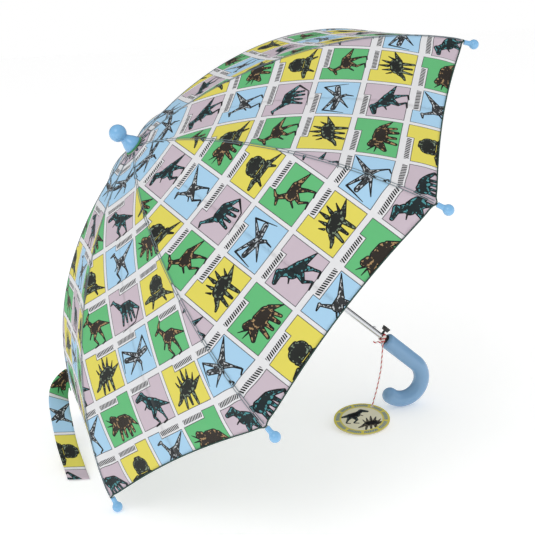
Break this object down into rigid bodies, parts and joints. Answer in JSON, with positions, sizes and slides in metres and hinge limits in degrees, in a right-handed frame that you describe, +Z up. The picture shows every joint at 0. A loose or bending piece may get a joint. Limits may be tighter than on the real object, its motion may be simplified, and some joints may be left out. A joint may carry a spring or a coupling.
{
  "type": "children's umbrella",
  "caption": "Open children's stick umbrella with a domed printed fabric canopy, hinged ribs and stretchers, ball tips, push-button catch, J handle, strap and hanging tag",
  "frame": {"origin": "floor point under the middle of the open umbrella, which lies on two rib tips and the bend of its handle", "axes": "+Z up; the shaft lies in the XZ plane, its ferrule toward -X and +Z and its handle toward +X"},
  "size_m": [0.5352, 0.7144, 0.5389],
  "materials": {
    "chrome": "polished",
    "steel": "satin plated wire",
    "spring_steel": "bare spring wire",
    "blue_plastic": "glossy moulded",
    "handle_plastic": "glossy moulded",
    "black_plastic": "moulded",
    "grey_plastic": "moulded",
    "fabric": "printed plain weave",
    "strap_fabric": "printed, doubled",
    "card": "printed card",
    "twine": "two-colour twisted cotton"
  },
  "bodies": {
    "frame": {"shaft_tube": "chrome", "handle": "handle_plastic", "handle_collar": "grey_plastic", "ferrule": "blue_plastic", "crown": "steel", "crown_wire": "steel", "bumper_spring": "spring_steel", "canopy_rosette": "fabric", "button_spring": "spring_steel", "twine_wrap": "twine", "twine": "twine", "tag": "card"},
    "rib_arm_1": {"rib_1": "steel", "rib_tip_1": "blue_plastic"},
    "rib_arm_2": {"rib_2": "steel", "rib_tip_2": "blue_plastic"},
    "rib_arm_3": {"rib_3": "steel", "rib_tip_3": "blue_plastic"},
    "rib_arm_4": {"rib_4": "steel", "rib_tip_4": "blue_plastic"},
    "rib_arm_5": {"rib_5": "steel", "rib_tip_5": "blue_plastic"},
    "rib_arm_6": {"rib_6": "steel", "rib_tip_6": "blue_plastic"},
    "rib_arm_7": {"rib_7": "steel", "rib_tip_7": "blue_plastic"},
    "rib_arm_8": {"rib_8": "steel", "rib_tip_8": "blue_plastic", "strap": "strap_fabric"},
    "stretcher_arm_1": {"stretcher_1": "steel"},
    "stretcher_arm_2": {"stretcher_2": "steel"},
    "stretcher_arm_3": {"stretcher_3": "steel"},
    "stretcher_arm_4": {"stretcher_4": "steel"},
    "stretcher_arm_5": {"stretcher_5": "steel"},
    "stretcher_arm_6": {"stretcher_6": "steel"},
    "stretcher_arm_7": {"stretcher_7": "steel"},
    "stretcher_arm_8": {"stretcher_8": "steel"},
    "runner_slider": {"runner": "black_plastic", "runner_wire": "steel"},
    "panel_1_a_fold": {"panel_1_a": "fabric"},
    "panel_1_b_fold": {"panel_1_b": "fabric"},
    "panel_2_a_fold": {"panel_2_a": "fabric"},
    "panel_2_b_fold": {"panel_2_b": "fabric"},
    "panel_3_a_fold": {"panel_3_a": "fabric"},
    "panel_3_b_fold": {"panel_3_b": "fabric"},
    "panel_4_a_fold": {"panel_4_a": "fabric"},
    "panel_4_b_fold": {"panel_4_b": "fabric"},
    "panel_5_a_fold": {"panel_5_a": "fabric"},
    "panel_5_b_fold": {"panel_5_b": "fabric"},
    "panel_6_a_fold": {"panel_6_a": "fabric"},
    "panel_6_b_fold": {"panel_6_b": "fabric"},
    "panel_7_a_fold": {"panel_7_a": "fabric"},
    "panel_7_b_fold": {"panel_7_b": "fabric"},
    "panel_8_a_fold": {"panel_8_a": "fabric"},
    "panel_8_b_fold": {"panel_8_b": "fabric"},
    "button": {"release_button": "black_plastic"},
    "lower_catch": {"catch_lever": "spring_steel"},
    "upper_catch_arm": {"upper_catch": "spring_steel"}
  },
  "joints": [
    {"name": "canopy_fold", "type": "hinge", "parent": "frame", "child": "rib_arm_1", "pos_m": [-0.14014, -0.00344, 0.40436], "axis": [0.2587, -0.9239, 0.282], "range_deg": [0, 57.5], "deforming": ["upper_catch"]},
    {"name": "rib_2_fold", "type": "hinge", "parent": "frame", "child": "rib_arm_2", "pos_m": [-0.13684, -0.00831, 0.40795], "axis": [0.6246, -0.3827, 0.6808], "range_deg": [0, 57.5]},
    {"name": "rib_3_fold", "type": "hinge", "parent": "frame", "child": "rib_arm_3", "pos_m": [-0.13219, -0.00831, 0.41302], "axis": [0.6246, 0.3827, 0.6808], "range_deg": [0, 57.5]},
    {"name": "rib_4_fold", "type": "hinge", "parent": "frame", "child": "rib_arm_4", "pos_m": [-0.12889, -0.00344, 0.41661], "axis": [0.2587, 0.9239, 0.282], "range_deg": [0, 57.5]},
    {"name": "rib_5_fold", "type": "hinge", "parent": "frame", "child": "rib_arm_5", "pos_m": [-0.12889, 0.00344, 0.41661], "axis": [-0.2587, 0.9239, -0.282], "range_deg": [0, 57.5]},
    {"name": "rib_6_fold", "type": "hinge", "parent": "frame", "child": "rib_arm_6", "pos_m": [-0.13219, 0.00831, 0.41302], "axis": [-0.6246, 0.3827, -0.6808], "range_deg": [0, 57.5]},
    {"name": "rib_7_fold", "type": "hinge", "parent": "frame", "child": "rib_arm_7", "pos_m": [-0.13684, 0.00831, 0.40795], "axis": [-0.6246, -0.3827, -0.6808], "range_deg": [0, 57.5]},
    {"name": "rib_8_fold", "type": "hinge", "parent": "frame", "child": "rib_arm_8", "pos_m": [-0.14014, 0.00344, 0.40436], "axis": [-0.2587, -0.9239, -0.282], "range_deg": [0, 57.5]},
    {"name": "stretcher_1_swing", "type": "hinge", "parent": "rib_arm_1", "child": "stretcher_arm_1", "pos_m": [-0.21865, -0.07877, 0.22959], "axis": [-0.2587, 0.9239, -0.282], "range_deg": [0, 115]},
    {"name": "stretcher_2_swing", "type": "hinge", "parent": "rib_arm_2", "child": "stretcher_arm_2", "pos_m": [-0.14334, -0.19017, 0.31168], "axis": [-0.6246, 0.3827, -0.6808], "range_deg": [0, 115]},
    {"name": "stretcher_3_swing", "type": "hinge", "parent": "rib_arm_3", "child": "stretcher_arm_3", "pos_m": [-0.03684, -0.19017, 0.42778], "axis": [-0.6246, -0.3827, -0.6808], "range_deg": [0, 115]},
    {"name": "stretcher_4_swing", "type": "hinge", "parent": "rib_arm_4", "child": "stretcher_arm_4", "pos_m": [0.03847, -0.07877, 0.50986], "axis": [-0.2587, -0.9239, -0.282], "range_deg": [0, 115]},
    {"name": "stretcher_5_swing", "type": "hinge", "parent": "rib_arm_5", "child": "stretcher_arm_5", "pos_m": [0.03847, 0.07877, 0.50986], "axis": [0.2587, -0.9239, 0.282], "range_deg": [0, 115]},
    {"name": "stretcher_6_swing", "type": "hinge", "parent": "rib_arm_6", "child": "stretcher_arm_6", "pos_m": [-0.03684, 0.19017, 0.42778], "axis": [0.6246, -0.3827, 0.6808], "range_deg": [0, 115]},
    {"name": "stretcher_7_swing", "type": "hinge", "parent": "rib_arm_7", "child": "stretcher_arm_7", "pos_m": [-0.14334, 0.19017, 0.31168], "axis": [0.6246, 0.3827, 0.6808], "range_deg": [0, 115]},
    {"name": "stretcher_8_swing", "type": "hinge", "parent": "rib_arm_8", "child": "stretcher_arm_8", "pos_m": [-0.21865, 0.07877, 0.22959], "axis": [0.2587, 0.9239, 0.282], "range_deg": [0, 115]},
    {"name": "runner_slide", "type": "hinge", "parent": "stretcher_arm_1", "child": "runner_slider", "pos_m": [-0.05129, -0.00344, 0.32285], "axis": [0.2587, -0.9239, 0.282], "range_deg": [0, 57.5]},
    {"name": "panel_1_a_bend", "type": "hinge", "parent": "rib_arm_1", "child": "panel_1_a_fold", "pos_m": [-0.13967, -0.0051, 0.40486], "axis": [0.3631, 0.9304, -0.0497], "range_deg": [0, 24.72], "deforming": ["panel_1_a"]},
    {"name": "panel_1_b_bend", "type": "hinge", "parent": "rib_arm_2", "child": "panel_1_b_fold", "pos_m": [-0.13796, -0.00763, 0.40673], "axis": [-0.8509, -0.2088, -0.482], "range_deg": [0, 24.72], "deforming": ["panel_1_b"]},
    {"name": "panel_2_a_bend", "type": "hinge", "parent": "rib_arm_2", "child": "panel_2_a_fold", "pos_m": [-0.13573, -0.009, 0.40916], "axis": [-0.123, 0.8056, -0.5796], "range_deg": [0, 24.72], "deforming": ["panel_2_a"]},
    {"name": "panel_2_b_bend", "type": "hinge", "parent": "rib_arm_3", "child": "panel_2_b_fold", "pos_m": [-0.13331, -0.009, 0.4118], "axis": [-0.5669, -0.8056, -0.1724], "range_deg": [0, 24.72], "deforming": ["panel_2_b"]},
    {"name": "panel_3_a_bend", "type": "hinge", "parent": "rib_arm_3", "child": "panel_3_a_fold", "pos_m": [-0.13107, -0.00763, 0.41424], "axis": [-0.407, 0.2088, -0.8892], "range_deg": [0, 24.72], "deforming": ["panel_3_a"]},
    {"name": "panel_3_b_bend", "type": "hinge", "parent": "rib_arm_4", "child": "panel_3_b_fold", "pos_m": [-0.12936, -0.0051, 0.41611], "axis": [-0.0808, -0.9304, 0.3575], "range_deg": [0, 24.72], "deforming": ["panel_3_b"]},
    {"name": "panel_4_a_bend", "type": "hinge", "parent": "rib_arm_4", "child": "panel_4_a_fold", "pos_m": [-0.12843, -0.00179, 0.41712], "axis": [-0.3226, -0.5102, -0.7972], "range_deg": [0, 24.72], "deforming": ["panel_4_a"]},
    {"name": "panel_4_b_bend", "type": "hinge", "parent": "rib_arm_5", "child": "panel_4_b_fold", "pos_m": [-0.12843, 0.00179, 0.41712], "axis": [0.3226, -0.5102, 0.7972], "range_deg": [0, 24.72], "deforming": ["panel_4_b"]},
    {"name": "panel_5_a_bend", "type": "hinge", "parent": "rib_arm_5", "child": "panel_5_a_fold", "pos_m": [-0.12936, 0.0051, 0.41611], "axis": [0.0808, -0.9304, -0.3575], "range_deg": [0, 24.72], "deforming": ["panel_5_a"]},
    {"name": "panel_5_b_bend", "type": "hinge", "parent": "rib_arm_6", "child": "panel_5_b_fold", "pos_m": [-0.13107, 0.00763, 0.41424], "axis": [0.407, 0.2088, 0.8892], "range_deg": [0, 24.72], "deforming": ["panel_5_b"]},
    {"name": "panel_6_a_bend", "type": "hinge", "parent": "rib_arm_6", "child": "panel_6_a_fold", "pos_m": [-0.13331, 0.009, 0.4118], "axis": [0.5669, -0.8056, 0.1724], "range_deg": [0, 24.72], "deforming": ["panel_6_a"]},
    {"name": "panel_6_b_bend", "type": "hinge", "parent": "rib_arm_7", "child": "panel_6_b_fold", "pos_m": [-0.13573, 0.009, 0.40916], "axis": [0.123, 0.8056, 0.5796], "range_deg": [0, 24.72], "deforming": ["panel_6_b"]},
    {"name": "panel_7_a_bend", "type": "hinge", "parent": "rib_arm_7", "child": "panel_7_a_fold", "pos_m": [-0.13796, 0.00763, 0.40673], "axis": [0.8509, -0.2088, 0.482], "range_deg": [0, 24.72], "deforming": ["panel_7_a"]},
    {"name": "panel_7_b_bend", "type": "hinge", "parent": "rib_arm_8", "child": "panel_7_b_fold", "pos_m": [-0.13967, 0.0051, 0.40486], "axis": [-0.3631, 0.9304, 0.0497], "range_deg": [0, 24.72], "deforming": ["panel_7_b"]},
    {"name": "panel_8_a_bend", "type": "hinge", "parent": "rib_arm_8", "child": "panel_8_a_fold", "pos_m": [-0.1406, 0.00179, 0.40385], "axis": [0.7665, 0.5102, 0.39], "range_deg": [0, 24.72], "deforming": ["panel_8_a"]},
    {"name": "panel_8_b_bend", "type": "hinge", "parent": "rib_arm_1", "child": "panel_8_b_fold", "pos_m": [-0.1406, -0.00179, 0.40385], "axis": [-0.7665, 0.5102, -0.39], "range_deg": [0, 24.72], "deforming": ["panel_8_b"]},
    {"name": "button_press", "type": "slide", "parent": "frame", "child": "button", "axis": [-0.676, 0, -0.7369], "range_m": [0, 0.0022], "stiffness_N_per_m": 900, "springref_m": -0.001, "deforming": ["button_spring"]},
    {"name": "catch_tilt", "type": "hinge", "parent": "frame", "child": "lower_catch", "pos_m": [0.21756, 0, 0.09088], "axis": [0, -1, 0], "range_deg": [0, 3.7]},
    {"name": "upper_catch_tilt", "type": "hinge", "parent": "frame", "child": "upper_catch_arm", "pos_m": [0.01364, 0, 0.27795], "axis": [0, -1, 0], "range_deg": [0, 4.5], "stiffness_Nm_per_rad": 2, "springref_deg": -1.15}
  ],
  "couplings": [
    {"joint": "rib_2_fold", "follows": "canopy_fold", "ratio": 1},
    {"joint": "rib_3_fold", "follows": "canopy_fold", "ratio": 1},
    {"joint": "rib_4_fold", "follows": "canopy_fold", "ratio": 1},
    {"joint": "rib_5_fold", "follows": "canopy_fold", "ratio": 1},
    {"joint": "rib_6_fold", "follows": "canopy_fold", "ratio": 1},
    {"joint": "rib_7_fold", "follows": "canopy_fold", "ratio": 1},
    {"joint": "rib_8_fold", "follows": "canopy_fold", "ratio": 1},
    {"joint": "stretcher_1_swing", "follows": "canopy_fold", "ratio": 2},
    {"joint": "stretcher_2_swing", "follows": "canopy_fold", "ratio": 2},
    {"joint": "stretcher_3_swing", "follows": "canopy_fold", "ratio": 2},
    {"joint": "stretcher_4_swing", "follows": "canopy_fold", "ratio": 2},
    {"joint": "stretcher_5_swing", "follows": "canopy_fold", "ratio": 2},
    {"joint": "stretcher_6_swing", "follows": "canopy_fold", "ratio": 2},
    {"joint": "stretcher_7_swing", "follows": "canopy_fold", "ratio": 2},
    {"joint": "stretcher_8_swing", "follows": "canopy_fold", "ratio": 2},
    {"joint": "runner_slide", "follows": "canopy_fold", "ratio": 1},
    {"joint": "panel_1_a_bend", "follows": "canopy_fold", "ratio": 0.42985},
    {"joint": "panel_1_b_bend", "follows": "canopy_fold", "ratio": 0.42985},
    {"joint": "panel_2_a_bend", "follows": "canopy_fold", "ratio": 0.42985},
    {"joint": "panel_2_b_bend", "follows": "canopy_fold", "ratio": 0.42985},
    {"joint": "panel_3_a_bend", "follows": "canopy_fold", "ratio": 0.42985},
    {"joint": "panel_3_b_bend", "follows": "canopy_fold", "ratio": 0.42985},
    {"joint": "panel_4_a_bend", "follows": "canopy_fold", "ratio": 0.42985},
    {"joint": "panel_4_b_bend", "follows": "canopy_fold", "ratio": 0.42985},
    {"joint": "panel_5_a_bend", "follows": "canopy_fold", "ratio": 0.42985},
    {"joint": "panel_5_b_bend", "follows": "canopy_fold", "ratio": 0.42985},
    {"joint": "panel_6_a_bend", "follows": "canopy_fold", "ratio": 0.42985},
    {"joint": "panel_6_b_bend", "follows": "canopy_fold", "ratio": 0.42985},
    {"joint": "panel_7_a_bend", "follows": "canopy_fold", "ratio": 0.42985},
    {"joint": "panel_7_b_bend", "follows": "canopy_fold", "ratio": 0.42985},
    {"joint": "panel_8_a_bend", "follows": "canopy_fold", "ratio": 0.42985},
    {"joint": "panel_8_b_bend", "follows": "canopy_fold", "ratio": 0.42985},
    {"joint": "catch_tilt", "follows": "button_press", "rad_per_m": 29.35}
  ]
}
